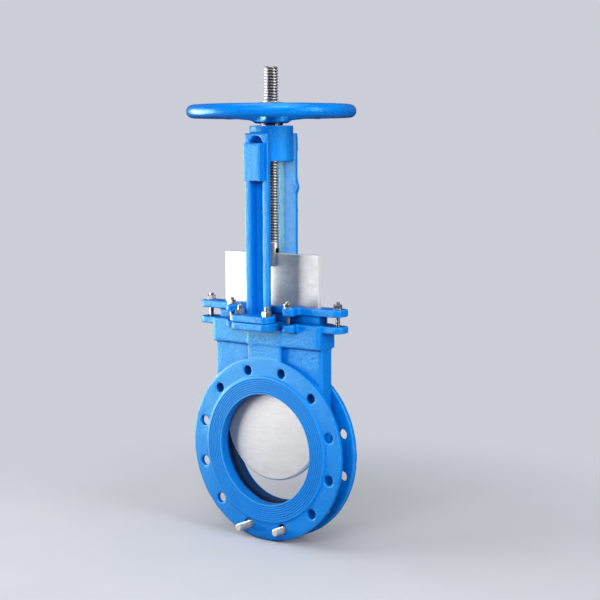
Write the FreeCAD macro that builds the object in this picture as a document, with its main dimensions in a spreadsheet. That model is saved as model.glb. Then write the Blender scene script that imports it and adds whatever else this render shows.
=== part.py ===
import FreeCAD, Part
import math
import os
import Sketcher
from FreeCAD import Vector, Rotation, Placement

# Knife gate valve, DN250 class, rising stem with handwheel.
# Frame: X to the right, Y along the pipe (front flange towards -Y), Z up,
# origin on the bore axis at the middle plane of the gate. Millimetres.
# Rest position: gate lifted 54 mm from closed.

doc = FreeCAD.newDocument("KnifeGateValve")
sheet = doc.addObject("Spreadsheet::Sheet", "Dims")

DIMS = [
    ("flange_dia", 400.0, "flange outside diameter"),
    ("face_dia", 320.0, "raised face diameter"),
    ("bore_dia", 242.0, "flow bore"),
    ("bolt_circle", 350.0, "flange bolt circle"),
    ("through_hole", 22.0, "through holes, M20 bolts"),
    ("tapped_hole", 20.0, "tapped holes, M20"),
    ("tapped_depth", 18.0, "depth of the tapped holes from the ring face"),
    ("face_half", 34.0, "middle plane to raised face"),
    ("ring_half", 31.0, "middle plane to bolt ring face"),
    ("ring_back", 19.5, "middle plane to back of flange ring"),
    ("chest_width", 288.0, "chest width"),
    ("chest_corner", 5.0, "chest corner radius"),
    ("band_bottom", 227.0, "underside of the upper band of the chest"),
    ("chest_top", 278.0, "top of the chest"),
    ("rib_width", 90.0, "raised middle rib on each chest face"),
    ("lobe_bottom", 263.0, "underside of ears and lobes"),
    ("end_stud", 172.0, "gland end studs, from the middle"),
    ("end_lug", 22.0, "half depth of the end lugs along Y"),
    ("body_reach", 191.0, "end of the body end lugs"),
    ("gland_reach", 190.0, "end of the gland end lugs"),
    ("lug_corner", 15.0, "corner radius of the end lugs"),
    ("side_stud_across", 76.0, "gland side studs, from the middle along X"),
    ("side_stud_out", 45.0, "gland side studs, from the middle along Y"),
    ("side_lug", 12.5, "side lug radius"),
    ("foot_width", 100.0, "yoke foot width"),
    ("foot_front", 88.0, "yoke foot outer edge from the middle plane"),
    ("foot_inner", 47.5, "inner edge of the wide part of the foot"),
    ("foot_corner", 14.0, "yoke foot corner radius"),
    ("foot_bottom", 281.0, "underside of the yoke foot"),
    ("foot_top", 296.0, "top of the yoke foot"),
    ("ear_bottom", 265.0, "underside of the yoke ear on the body"),
    ("foot_stud_across", 36.5, "yoke studs from the middle along X"),
    ("foot_stud_out", 66.0, "yoke studs from the middle along Y"),
    ("foot_stud", 12.0, "yoke stud diameter"),
    ("slot_width", 260.0, "gate slot width"),
    ("slot_depth", 14.0, "gate slot depth along Y"),
    ("box_width", 272.0, "packing box width"),
    ("box_depth", 32.0, "packing box depth along Y"),
    ("box_floor", 232.0, "packing box floor"),
    ("box_corner", 4.0, "packing box corner radius"),
    ("scraper_height", 4.0, "scraper ring height"),
    ("ring_height", 9.0, "packing ring height"),
    ("gland_bottom", 297.6, "underside of gland plate"),
    ("gland_top", 313.4, "top of gland plate"),
    ("gland_bar", 44.0, "gland bar depth along Y"),
    ("gland_stud", 10.0, "gland stud diameter"),
    ("gland_hole", 11.0, "gland stud hole"),
    ("gland_stud_top", 328.6, "top of gland studs"),
    ("washer_dia", 20.0, "gland washer diameter"),
    ("washer_height", 2.0, "gland washer thickness"),
    ("gland_nut_height", 8.0, "gland nut height"),
    ("gland_nut_flats", 17.0, "gland nut across flats"),
    ("gate_width", 252.0, "gate width"),
    ("gate_thick", 12.0, "gate thickness"),
    ("gate_lift", 54.0, "gate lift from closed at rest"),
    ("gate_top", 424.0, "gate top edge at rest"),
    ("gate_bevel", 4.0, "bevel on the round edge"),
    ("gate_play", 0.1, "play between gate and its guides"),
    ("seat_outer", 258.0, "seat groove diameter"),
    ("seat_back", 12.0, "back of the seat groove"),
    ("seat_front", 6.1, "front of the seat ring"),
    ("stem_dia", 30.0, "stem diameter"),
    ("stem_bottom", 396.0, "bottom of the stem fork"),
    ("stem_top", 819.0, "top of the stem at rest"),
    ("fork_slot", 12.1, "slot of the stem fork"),
    ("fork_arch", 428.0, "centre of the round end of the fork slot"),
    ("pin_dia", 8.0, "fork pins"),
    ("pin_low", 404.0, "lower fork pin height"),
    ("pin_high", 415.5, "upper fork pin height"),
    ("head_dia", 92.8, "yoke head diameter"),
    ("head_bottom", 620.0, "underside of yoke head"),
    ("head_top", 695.0, "top of yoke head"),
    ("pocket_dia", 54.2, "pocket in the yoke head"),
    ("pocket_floor", 640.0, "floor of the pocket"),
    ("stem_clear", 34.0, "stem clearance hole in the head"),
    ("leg_half", 30.5, "half width of a yoke leg"),
    ("leg_outer", 53.5, "outer face of a yoke leg from the stem axis"),
    ("leg_flank", 44.5, "inner edge of a leg flank"),
    ("leg_inner", 26.5, "inner face of the web"),
    ("web_half", 17.0, "half width of the web on its inner face"),
    ("web_outer", 33.5, "outer face of the web"),
    ("groove_mouth", 16.0, "half width of the groove at its mouth"),
    ("groove_floor", 12.0, "half width of the groove at its floor"),
    ("groove_start", 296.0, "lower end of the leg groove"),
    ("groove_arch", 658.0, "centre of the arched upper end of the groove"),
    ("leg_top", 679.0, "top of the legs"),
    ("pad_half", 21.6, "half width of the front pad"),
    ("pad_face", 69.3, "face of the front pad from the stem axis"),
    ("pad_low", 579.0, "lower edge of the front pad"),
    ("pad_high", 658.0, "upper edge of the front pad"),
    ("boss_z", 563.5, "centre of the round boss on the back leg"),
    ("nut_bore", 30.1, "stem nut bore over the thread crests"),
    ("nut_flange", 54.0, "stem nut flange diameter"),
    ("nut_body", 44.0, "stem nut body diameter"),
    ("nut_spigot", 40.0, "stem nut spigot in the hub"),
    ("nut_thread", 38.0, "stem nut top thread"),
    ("nut_low", 644.05, "underside of the stem nut"),
    ("nut_high", 655.95, "top of the stem nut flange"),
    ("nut_top", 745.0, "top of the stem nut"),
    ("cap_low", 660.0, "underside of the bearing cap"),
    ("cap_bore", 44.1, "bearing cap bore"),
    ("screw_z", 680.0, "cap locking screw height"),
    ("collar_low", 696.0, "underside of the collar"),
    ("collar_dia", 50.0, "collar diameter"),
    ("wheel_z", 725.0, "middle plane of the wheel rim"),
    ("wheel_dia", 361.2, "wheel outside diameter"),
    ("rim_thick", 28.0, "rim thickness"),
    ("hub_dia", 73.0, "hub diameter"),
    ("hub_low", 701.0, "underside of the hub"),
    ("hub_high", 738.0, "top of the hub"),
    ("key_width", 8.0, "key width"),
    ("wheel_nut_flats", 50.0, "wheel nut across flats"),
    ("wheel_nut_high", 744.0, "top of the wheel nut"),
    ("rod_dia", 16.0, "rods in the lowest flange holes"),
    ("rod_back", 60.0, "back ends of the rods"),
    ("rod_front_left", 69.0, "front end of the left rod"),
    ("rod_front_right", 56.0, "front end of the right rod"),
    ("rest_in", 121.3, "inner radius of the gate rests in the slot"),
    ("rest_seat", 126.4, "radius of the gate rests under the closed gate"),
    ("rest_near", 42.0, "gate rests, near end from the middle"),
    ("rest_far", 76.0, "gate rests, far end from the middle"),
]
for row, (alias, value, note) in enumerate(DIMS, 1):
    sheet.set("A%d" % row, note)
    sheet.set("B%d" % row, repr(value))
    sheet.setAlias("B%d" % row, alias)
doc.recompute()


class Q:
    """A size that carries both its value and its sheet expression."""

    def __init__(self, v, t):
        self.v = float(v)
        self.t = t

    def __add__(self, o):
        o = q(o)
        return Q(self.v + o.v, "(%s + %s)" % (self.t, o.t))

    def __sub__(self, o):
        o = q(o)
        return Q(self.v - o.v, "(%s - %s)" % (self.t, o.t))

    def __mul__(self, o):
        o = q(o)
        return Q(self.v * o.v, "(%s * %s)" % (self.t, o.t))

    def __truediv__(self, o):
        o = q(o)
        return Q(self.v / o.v, "(%s / %s)" % (self.t, o.t))

    def __neg__(self):
        return Q(-self.v, "(0 - %s)" % self.t)

    __radd__ = lambda self, o: q(o) + self
    __rsub__ = lambda self, o: q(o) - self
    __rmul__ = lambda self, o: q(o) * self


def q(x):
    if isinstance(x, Q):
        return x
    v = float(x)
    return Q(v, repr(v) if v >= 0 else "(0 - %r)" % (-v))


def P(alias):
    return Q(sheet.get(alias), "Dims." + alias)


def bind(obj, prop, size):
    obj.setExpression(prop, q(size).t)


def put(obj, x, y, z, rot=None):
    x, y, z = q(x), q(y), q(z)
    obj.Placement = Placement(Vector(x.v, y.v, z.v), rot or Rotation())
    for ax, s in (("x", x), ("y", y), ("z", z)):
        obj.setExpression(".Placement.Base." + ax, s.t)
    return obj


ALONG_Y = Rotation(Vector(1, 0, 0), -90)
ALONG_X = Rotation(Vector(0, 1, 0), 90)
count = [0]


def fresh(base):
    count[0] += 1
    return "%s_%03d" % (base, count[0])


def box(x0, x1, y0, y1, z0, z1):
    o = doc.addObject("Part::Box", fresh("Block"))
    x0, x1, y0, y1, z0, z1 = [q(s) for s in (x0, x1, y0, y1, z0, z1)]
    bind(o, "Length", x1 - x0)
    bind(o, "Width", y1 - y0)
    bind(o, "Height", z1 - z0)
    return put(o, x0, y0, z0)


def cyl_z(x, y, z0, z1, r):
    o = doc.addObject("Part::Cylinder", fresh("Round"))
    bind(o, "Radius", r)
    bind(o, "Height", q(z1) - z0)
    return put(o, x, y, z0)


def cyl_y(x, z, y0, y1, r):
    o = doc.addObject("Part::Cylinder", fresh("Round"))
    bind(o, "Radius", r)
    bind(o, "Height", q(y1) - y0)
    return put(o, x, y0, z, ALONG_Y)


def cyl_x(y, z, x0, x1, r):
    o = doc.addObject("Part::Cylinder", fresh("Round"))
    bind(o, "Radius", r)
    bind(o, "Height", q(x1) - x0)
    return put(o, x0, y, z, ALONG_X)


def cone_y(x, z, y0, y1, r0, r1):
    o = doc.addObject("Part::Cone", fresh("Taper"))
    bind(o, "Radius1", r0)
    bind(o, "Radius2", r1)
    bind(o, "Height", q(y1) - y0)
    return put(o, x, y0, z, ALONG_Y)


def fuse(items, name=None):
    o = doc.addObject("Part::MultiFuse", fresh(name or "Union"))
    o.Shapes = items
    o.Refine = True
    return o


def cut(base, tools, name=None):
    tool = tools[0] if len(tools) == 1 else fuse(tools, "Tools")
    o = doc.addObject("Part::Cut", fresh(name or "Cut"))
    o.Base = base
    o.Tool = tool
    o.Refine = True
    return o


def rounded(x0, x1, y0, y1, z0, z1, r):
    """Upright block with rounded corners."""
    x0, x1, y0, y1, r = q(x0), q(x1), q(y0), q(y1), q(r)
    items = [box(x0 + r, x1 - r, y0, y1, z0, z1),
             box(x0, x1, y0 + r, y1 - r, z0, z1)]
    for x in (x0 + r, x1 - r):
        for y in (y0 + r, y1 - r):
            items.append(cyl_z(x, y, z0, z1, r))
    return fuse(items, "RoundedBlock")


def plane(body, role):
    for f in body.Origin.OriginFeatures:
        if f.Role == role:
            return f


def outline(body, role, pts):
    """Closed polygon sketch, every corner held by two bound distances."""
    sk = body.newObject("Sketcher::SketchObject", fresh("Outline"))
    sk.AttachmentSupport = [(plane(body, role), "")]
    sk.MapMode = "FlatFace"
    pts = [(q(a), q(b)) for a, b in pts]
    n = len(pts)
    for i in range(n):
        a, b = pts[i], pts[(i + 1) % n]
        sk.addGeometry(Part.LineSegment(Vector(a[0].v, a[1].v, 0),
                                        Vector(b[0].v, b[1].v, 0)), False)
    for i in range(n):
        sk.addConstraint(Sketcher.Constraint("Coincident", i, 2, (i + 1) % n, 1))
    for i in range(n):
        for kind, s, ref in (("DistanceX", pts[i][0], -2), ("DistanceY", pts[i][1], -1)):
            if abs(s.v) < 1e-9:
                sk.addConstraint(Sketcher.Constraint("PointOnObject", i, 1, ref))
            elif s.v > 0:
                c = sk.addConstraint(Sketcher.Constraint(kind, -1, 1, i, 1, s.v))
                sk.setExpression("Constraints[%d]" % c, s.t)
            else:
                c = sk.addConstraint(Sketcher.Constraint(kind, i, 1, -1, 1, -s.v))
                sk.setExpression("Constraints[%d]" % c, (-s).t)
    return sk


def turned(name, role, pts):
    """Solid of revolution about the sketch's vertical axis."""
    body = doc.addObject("PartDesign::Body", fresh(name))
    sk = outline(body, role, pts)
    rev = body.newObject("PartDesign::Revolution", fresh("Turned"))
    rev.Profile = sk
    rev.ReferenceAxis = (sk, ["V_Axis"])
    rev.Angle = 360
    sk.Visibility = False
    body.Tip = rev
    return body


def padded(name, pts, z0, z1):
    """Upright prism from an outline in the XY plane."""
    body = doc.addObject("PartDesign::Body", fresh(name))
    sk = outline(body, "XY_Plane", pts)
    pad = body.newObject("PartDesign::Pad", fresh("Pad"))
    pad.Profile = sk
    bind(pad, "Length", q(z1) - z0)
    body.Tip = pad
    return put(body, 0, 0, z0)


def hexagon(x, y, z0, z1, flats, turn=0.0):
    o = doc.addObject("Part::Prism", fresh("Hexagon"))
    o.Polygon = 6
    bind(o, "Circumradius", q(flats) / (2 * math.cos(math.pi / 6)))
    bind(o, "Height", q(z1) - z0)
    return put(o, x, y, z0, Rotation(Vector(0, 0, 1), turn))


def hex_nut(x, y, z0, height, flats, bore, turn=0.0):
    """Hexagon nut with chamfered corners."""
    z0, height, flats = q(z0), q(height), q(flats)
    raw = hexagon(x, y, z0, z0 + height, flats, turn)
    limit = doc.addObject("Part::Cone", fresh("Chamfer"))
    bind(limit, "Radius1", flats * 0.60 + height)
    bind(limit, "Radius2", flats * 0.49)
    bind(limit, "Height", height + flats * 0.11)
    put(limit, x, y, z0 - flats * 0.11 + 0.0)
    lim = doc.addObject("Part::Common", fresh("Nut"))
    lim.Base = raw
    lim.Tool = limit
    return cut(lim, [cyl_z(x, y, z0 - 1, z0 + height + 1, bore)], "Nut")


def group(items, label):
    o = doc.addObject("Part::Compound", label)
    o.Links = items
    o.Label = label
    return o


NODES = []


def keep(obj, label):
    obj.Label = label
    NODES.append((label, obj))
    return obj


SIDES = (-1, 1)
half = lambda a: P(a) / 2

# ---------------------------------------------------------------- valve body
items = []
items.append(cyl_y(0, 0, -P("ring_back"), P("ring_back"), half("chest_width")))
items.append(rounded(-half("chest_width"), half("chest_width"), -P("ring_back"), P("ring_back"),
                     0, P("chest_top"), P("chest_corner")))
items.append(rounded(-half("chest_width") - 1, half("chest_width") + 1, -P("ring_half"), P("ring_half"),
                     P("band_bottom"), P("chest_top"), P("chest_corner") + 1))
items.append(box(-half("rib_width"), half("rib_width"), -P("ring_half"), P("ring_half"), 150, P("chest_top")))
for s in SIDES:
    ring = turned("Flange", "XY_Plane", [
        (100, s * P("face_half")),
        (half("face_dia"), s * P("face_half")),
        (half("face_dia"), s * P("ring_half")),
        (half("flange_dia") - 1.5, s * P("ring_half")),
        (half("flange_dia"), s * (P("ring_half") - 1.5)),
        (half("flange_dia"), s * (P("ring_back") + 2)),
        (half("flange_dia") - 2, s * P("ring_back")),
        (100, s * P("ring_back")),
    ])
    items.append(ring)
items.append(rounded(-P("body_reach"), P("body_reach"), -P("end_lug"), P("end_lug"),
                     P("lobe_bottom"), P("chest_top"), P("lug_corner")))
for sx in SIDES:
    for sy in SIDES:
        x, y = sx * P("side_stud_across"), sy * P("side_stud_out")
        items.append(cyl_z(x, y, P("lobe_bottom"), P("chest_top"), P("side_lug")))
        lo, hi = (y, q(0)) if sy < 0 else (q(0), y)
        items.append(box(x - P("side_lug"), x + P("side_lug"), lo, hi, P("lobe_bottom"), P("chest_top")))
for s in SIDES:
    r = P("foot_corner")
    a, b = (-P("foot_front"), q(0)) if s < 0 else (q(0), P("foot_front"))
    ai, bi = (a + r, b) if s < 0 else (a, b - r)
    hw = half("foot_width")
    items.append(box(-hw + r, hw - r, a, b, P("ear_bottom"), P("foot_bottom")))
    items.append(box(-hw, hw, ai, bi, P("ear_bottom"), P("foot_bottom")))
    for sx in SIDES:
        items.append(cyl_z(sx * (hw - r), s * (P("foot_front") - r), P("ear_bottom"), P("foot_bottom"), r))
casting = fuse(items, "BodyCasting")

tools = [
    cyl_y(0, 0, -50, 50, half("bore_dia")),
    cyl_y(0, 0, -half("slot_depth"), half("slot_depth"), half("slot_width")),
    box(-half("slot_width"), half("slot_width"), -half("slot_depth"), half("slot_depth"), 0, P("box_floor") + 1),
    rounded(-half("box_width"), half("box_width"), -half("box_depth"), half("box_depth"),
            P("box_floor"), P("foot_bottom") + 5, P("box_corner")),
    cyl_y(0, 0, 0, P("seat_back"), half("seat_outer")),
]
for k in range(12):
    deg = 15.0 + 30.0 * k
    sn, cs = math.sin(math.radians(deg)), math.cos(math.radians(deg))
    x, z = half("bolt_circle") * sn, half("bolt_circle") * cs
    if 60 < deg < 300:
        tools.append(cyl_y(x, z, -50, 50, half("through_hole")))
    else:
        tools.append(cyl_y(x, z, -50, -(P("ring_half") - P("tapped_depth")), half("tapped_hole")))
        tools.append(cyl_y(x, z, P("ring_half") - P("tapped_depth"), 50, half("tapped_hole")))
for s in SIDES:
    tools.append(cyl_z(s * P("end_stud"), 0, 250, 300, half("gland_stud")))
for sx in SIDES:
    for sy in SIDES:
        tools.append(cyl_z(sx * P("side_stud_across"), sy * P("side_stud_out"), 250, 300, half("gland_stud")))
        tools.append(cyl_z(sx * P("foot_stud_across"), sy * P("foot_stud_out"), 250, 300, half("foot_stud")))
hollow = cut(casting, tools, "BodyHollow")
# two wedge-shaped rests low in the slot, just clear of the closed gate and of its bevel
ring = turned("RestRing", "XY_Plane", [
    (P("rest_in"), -half("slot_depth") - 0.5), (P("rest_in"), -(half("gate_thick") + 0.3)),
    (P("rest_seat") - P("gate_bevel") - 0.1, -(half("gate_thick") + 0.3)),
    (P("rest_seat"), -(half("gate_thick") - P("gate_bevel") + 0.2)), (P("rest_seat"), q(5.5)),
    (half("slot_width") + 1, q(5.5)), (half("slot_width") + 1, -half("slot_depth") - 0.5),
])
rests = doc.addObject("Part::Common", "GateRests")
rests.Base = ring
rests.Tool = fuse([box(-P("rest_far"), -P("rest_near"), -20, 20, -140, -80),
                   box(P("rest_near"), P("rest_far"), -20, 20, -140, -80)], "RestSpan")
keep(fuse([hollow, rests], "Body"), "valve_body")

# ------------------------------------------------------- seat, guides, packing
keep(turned("Seat", "XY_Plane", [
    (half("bore_dia"), P("seat_front")),
    (half("seat_outer") - 1.5, P("seat_front")),
    (half("seat_outer"), P("seat_front") + 1.5),
    (half("seat_outer"), P("seat_back")),
    (half("bore_dia"), P("seat_back")),
]), "seat_ring")

gw = half("gate_width") + P("gate_play")
gt = half("gate_thick") + P("gate_play")
strips = []
for s in SIDES:
    a, b = (s * half("slot_width"), s * gw) if s < 0 else (s * gw, s * half("slot_width"))
    strips.append(box(a, b, -half("slot_depth"), half("slot_depth"), 28, 226))
keep(group(strips, "gate_guides"), "gate_guides")


def frame_ring(name, z0, z1):
    outer = rounded(-half("box_width"), half("box_width"), -half("box_depth"), half("box_depth"),
                    z0, z1, P("box_corner"))
    inner = box(-gw, gw, -gt, gt, q(z0) - 1, q(z1) + 1)
    return cut(outer, [inner], name)


z = P("box_floor")
keep(frame_ring("Scraper", z, z + P("scraper_height")), "gate_scraper")
z = z + P("scraper_height")
for i in range(4):
    keep(frame_ring("Packing", z, z + P("ring_height")), "packing_ring_%d" % (i + 1))
    z = z + P("ring_height")
packing_top = z

# ------------------------------------------------------------------- gland
items = [
    rounded(-half("box_width") + 0.1, half("box_width") - 0.1, -half("box_depth") + 0.1, half("box_depth") - 0.1,
            packing_top, P("gland_bottom") + 1, P("box_corner")),
    rounded(-P("gland_reach"), P("gland_reach"), -half("gland_bar"), half("gland_bar"),
            P("gland_bottom"), P("gland_top"), P("lug_corner")),
]
for sx in SIDES:
    for sy in SIDES:
        x, y = sx * P("side_stud_across"), sy * P("side_stud_out")
        items.append(cyl_z(x, y, P("gland_bottom"), P("gland_top"), P("side_lug")))
        lo, hi = (y, q(0)) if sy < 0 else (q(0), y)
        items.append(box(x - P("side_lug"), x + P("side_lug"), lo, hi, P("gland_bottom"), P("gland_top")))
gland = fuse(items, "GlandCasting")
studs, nuts, washers = [], [], []
tools = [box(-gw - 0.9, gw + 0.9, -gt - 0.9, gt + 0.9, 250, 340)]
spots = [(s * P("end_stud"), q(0)) for s in SIDES]
spots += [(sx * P("side_stud_across"), sy * P("side_stud_out")) for sx in SIDES for sy in SIDES]
turns = (8.0, 22.0, -5.0, 14.0, 31.0, 3.0)
for (x, y), turn in zip(spots, turns):
    tools.append(cyl_z(x, y, 250, 340, half("gland_hole")))
    studs.append(cyl_z(x, y, P("lobe_bottom"), P("gland_stud_top"), half("gland_stud")))
    washers.append(cut(cyl_z(x, y, P("gland_top"), P("gland_top") + P("washer_height"), half("washer_dia")),
                       [cyl_z(x, y, 300, 340, half("gland_stud"))], "Washer"))
    nuts.append(hex_nut(x, y, P("gland_top") + P("washer_height"), P("gland_nut_height"),
                        P("gland_nut_flats"), half("gland_stud"), turn))
keep(cut(gland, tools, "Gland"), "packing_gland")
keep(group(studs, "gland_studs"), "gland_studs")
keep(group(washers, "gland_washers"), "gland_washers")
keep(group(nuts, "gland_nuts"), "gland_nuts")

# -------------------------------------------------------------------- yoke
lh, lo_, lf, li, wo = P("leg_half"), P("leg_outer"), P("leg_flank"), P("leg_inner"), P("web_outer")
gm, gf = P("groove_mouth"), P("groove_floor")
items = [cyl_z(0, 0, P("head_bottom"), P("head_top"), half("head_dia"))]
tools = []
for s in SIDES:
    leg = [(-lh, s * lo_), (lh, s * lo_), (lh, s * lf), (P("web_half"), s * li),
           (-P("web_half"), s * li), (-lh, s * lf)]
    items.append(padded("Leg", leg, P("foot_bottom"), P("leg_top")))
    # foot: wide outer part with rounded corners, narrower inner part under the web
    r, hw = P("foot_corner"), half("foot_width")
    a, b = (-P("foot_front"), -P("foot_inner")) if s < 0 else (P("foot_inner"), P("foot_front"))
    ai, bi = (a + r, b) if s < 0 else (a, b - r)
    items.append(box(-hw + r, hw - r, a, b, P("foot_bottom"), P("foot_top")))
    items.append(box(-hw, hw, ai, bi, P("foot_bottom"), P("foot_top")))
    for sx in SIDES:
        items.append(cyl_z(sx * (hw - r), s * (P("foot_front") - r), P("foot_bottom"), P("foot_top"), r))
    a, b = (-P("foot_inner"), -li) if s < 0 else (li, P("foot_inner"))
    items.append(box(-lh, lh, a, b, P("foot_bottom"), P("foot_top")))
    # groove in the outer side of the leg, with an arched upper end
    far = lo_ + 20
    slope = (gm - gf) / (lo_ - wo)
    gx = gm + slope * 20
    groove = [(-gx, s * far), (gx, s * far), (gf, s * wo), (-gf, s * wo)]
    tools.append(padded("Groove", groove, P("groove_start"), P("groove_arch")))
    if s < 0:
        tools.append(cone_y(0, P("groove_arch"), -far, -wo, gx, gf))
    else:
        tools.append(cone_y(0, P("groove_arch"), wo, far, gf, gx))
legs = cut(fuse(items, "YokeBlank"), tools, "YokeLegs")
pad = box(-P("pad_half"), P("pad_half"), -P("pad_face"), -(wo - 0.5), P("pad_low"), P("pad_high"))
boss = cyl_y(P("leg_half") - 9, P("boss_z"), lf, lo_, 13.5)
whole = fuse([legs, pad, boss], "YokeCasting")
tools = [
    cyl_z(0, 0, P("pocket_floor"), P("head_top") + 5, half("pocket_dia")),
    cyl_z(0, 0, P("head_bottom") - 5, P("pocket_floor") + 1, half("stem_clear")),
    cyl_x(0, P("screw_z"), -60, -20, 3),
]
for sx in SIDES:
    for sy in SIDES:
        tools.append(cyl_z(sx * P("foot_stud_across"), sy * P("foot_stud_out"), 270, 310, half("foot_stud") + 0.5))
keep(cut(whole, tools, "Yoke"), "yoke")

studs, nuts = [], []
turns = (12.0, 25.0, -8.0, 4.0)
for i, (sx, sy) in enumerate([(a, b) for a in SIDES for b in SIDES]):
    x, y = sx * P("foot_stud_across"), sy * P("foot_stud_out")
    studs.append(cyl_z(x, y, P("ear_bottom"), 316, half("foot_stud")))
    nuts.append(hex_nut(x, y, P("foot_top"), 10, 19, half("foot_stud"), turns[i]))
keep(group(studs, "yoke_studs"), "yoke_studs")
keep(group(nuts, "yoke_nuts"), "yoke_nuts")

# ------------------------------------------------------------ gate and stem
gz = P("gate_lift")
blade = fuse([
    box(-half("gate_width"), half("gate_width"), -half("gate_thick"), half("gate_thick"), gz, P("gate_top")),
    cyl_y(0, gz, -half("gate_thick") + P("gate_bevel"), half("gate_thick"), half("gate_width")),
    cone_y(0, gz, -half("gate_thick"), -half("gate_thick") + P("gate_bevel"),
           half("gate_width") - P("gate_bevel"), half("gate_width")),
], "Blade")
pin_holes = [cyl_y(0, P(a), -20, 20, half("pin_dia")) for a in ("pin_low", "pin_high")]
keep(cut(blade, pin_holes, "Gate"), "knife_gate")

r = half("stem_dia")
rod = turned("Stem", "XZ_Plane", [
    (0, P("stem_bottom")), (r - 1, P("stem_bottom")), (r, P("stem_bottom") + 1),
    (r, P("stem_top") - 2), (r - 2, P("stem_top")), (0, P("stem_top")),
])
tools = [
    box(-20, 20, -half("fork_slot"), half("fork_slot"), P("stem_bottom") - 5, P("fork_arch")),
    cyl_x(0, P("fork_arch"), -20, 20, half("fork_slot")),
]
tools += [cyl_y(0, P(a), -20, 20, half("pin_dia")) for a in ("pin_low", "pin_high")]
keep(cut(rod, tools, "Stem"), "stem")
pins = [cyl_y(0, P(a), -14.5, 14.5, half("pin_dia")) for a in ("pin_low", "pin_high")]
keep(group(pins, "stem_gate_pins"), "stem_gate_pins")

# -------------------------------------------------- stem nut and its bearings
kw = half("key_width")
nut = turned("StemNut", "XZ_Plane", [
    (half("nut_bore"), P("nut_low")), (half("nut_flange"), P("nut_low")),
    (half("nut_flange"), P("nut_high")), (half("nut_body"), P("nut_high")),
    (half("nut_body"), P("collar_low")), (half("nut_spigot"), P("collar_low")),
    (half("nut_spigot"), P("hub_high")), (half("nut_thread"), P("hub_high")),
    (half("nut_thread"), P("nut_top")), (half("nut_bore"), P("nut_top")),
])
keyway = box(half("nut_spigot") - 3.5, half("nut_spigot") + 5, -kw, kw, P("hub_low") + 3, P("hub_high") - 2)
keep(cut(nut, [keyway], "StemNut"), "stem_nut")
keep(turned("LowerWasher", "XZ_Plane", [
    (18, P("pocket_floor")), (half("pocket_dia"), P("pocket_floor")),
    (half("pocket_dia"), P("pocket_floor") + 4), (18, P("pocket_floor") + 4)]), "thrust_washer_lower")
keep(turned("UpperWasher", "XZ_Plane", [
    (half("cap_bore"), P("cap_low") - 4), (half("pocket_dia"), P("cap_low") - 4),
    (half("pocket_dia"), P("cap_low")), (half("cap_bore"), P("cap_low"))]), "thrust_washer_upper")
cap = turned("Cap", "XZ_Plane", [
    (half("cap_bore"), P("cap_low")), (half("pocket_dia"), P("cap_low")),
    (half("pocket_dia"), P("head_top")), (half("cap_bore"), P("head_top"))])
keep(cut(cap, [box(-3, 3, -40, -20, P("head_top") - 3, P("head_top") + 3),
               box(-3, 3, 20, 40, P("head_top") - 3, P("head_top") + 3)], "Cap"), "bearing_cap")
keep(cyl_x(0, P("screw_z"), -45, -half("pocket_dia"), 3), "cap_locking_screw")
keep(turned("Collar", "XZ_Plane", [
    (half("nut_spigot"), P("collar_low")), (half("collar_dia"), P("collar_low")),
    (half("collar_dia"), P("hub_low")), (half("nut_spigot"), P("hub_low"))]), "handwheel_collar")

# --------------------------------------------------------------- handwheel
rim = doc.addObject("Part::Torus", "Rim")
bind(rim, "Radius1", half("wheel_dia") - half("rim_thick"))
bind(rim, "Radius2", half("rim_thick"))
put(rim, 0, 0, P("wheel_z"))
items = [rim, cyl_z(0, 0, P("hub_low"), P("hub_high"), half("hub_dia"))]
for k in range(5):
    spoke = doc.addObject("Part::Cone", fresh("Spoke"))
    spoke.Radius1, spoke.Radius2 = 12.0, 9.5
    bind(spoke, "Height", half("wheel_dia") - P("rim_thick") + 2 - 24)
    a = math.radians(18.0 + 72.0 * k)
    tilt = math.degrees(math.atan2(9.0, 130.0))
    rot = Rotation(Vector(0, 0, 1), math.degrees(a)) * Rotation(Vector(0, 1, 0), 90 - tilt)
    items.append(put(spoke, 24 * math.cos(a), 24 * math.sin(a), P("wheel_z") - 11, rot))
wheel = fuse(items, "Wheel")
hub_key = box(half("nut_spigot") - 3.5, half("nut_spigot") + 3.5, -kw, kw, P("hub_low") - 1, P("hub_high") + 1)
keep(cut(wheel, [cyl_z(0, 0, P("hub_low") - 5, P("hub_high") + 5, half("nut_spigot")), hub_key], "Handwheel"),
     "handwheel")
keep(box(half("nut_spigot") - 3.5, half("nut_spigot") + 3.5, -kw, kw, P("hub_low") + 3, P("hub_high") - 2),
     "handwheel_key")
keep(hex_nut(0, 0, P("hub_high"), P("wheel_nut_high") - P("hub_high"), P("wheel_nut_flats"),
             half("nut_thread"), 11.0), "handwheel_nut")

# ------------------------------------------------- rods in the lowest holes
rods = []
drop = half("through_hole") - half("rod_dia")
for deg, front in ((165.0, "rod_front_right"), (195.0, "rod_front_left")):
    sn, cs = math.sin(math.radians(deg)), math.cos(math.radians(deg))
    rods.append(cyl_y(half("bolt_circle") * sn, half("bolt_circle") * cs - drop,
                      -P(front), P("rod_back"), half("rod_dia")))
keep(group(rods, "flange_rods"), "flange_rods")

# ------------------------------------------------------------ check and write
doc.recompute()
bad = []
for o in doc.Objects:
    if any(flag in ("Invalid", "Error") for flag in o.State):
        bad.append("%s %s" % (o.Name, o.State))
for label, o in NODES:
    shape = o.Shape
    if shape.isNull() or not shape.isValid() or not shape.Solids:
        bad.append("shape of " + label)
if bad:
    raise SystemExit("failed: " + "; ".join(bad))

os.makedirs("parts", exist_ok=True)
for label, o in NODES:
    o.Shape.exportStep("parts/%s.step" % label)
    bb = o.Shape.BoundBox
    print("%-22s solids %d faces %4d volume %9.1f cm3  x %.1f..%.1f y %.1f..%.1f z %.1f..%.1f" % (
        label, len(o.Shape.Solids), len(o.Shape.Faces), o.Shape.Volume / 1000,
        bb.XMin, bb.XMax, bb.YMin, bb.YMax, bb.ZMin, bb.ZMax))
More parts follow.
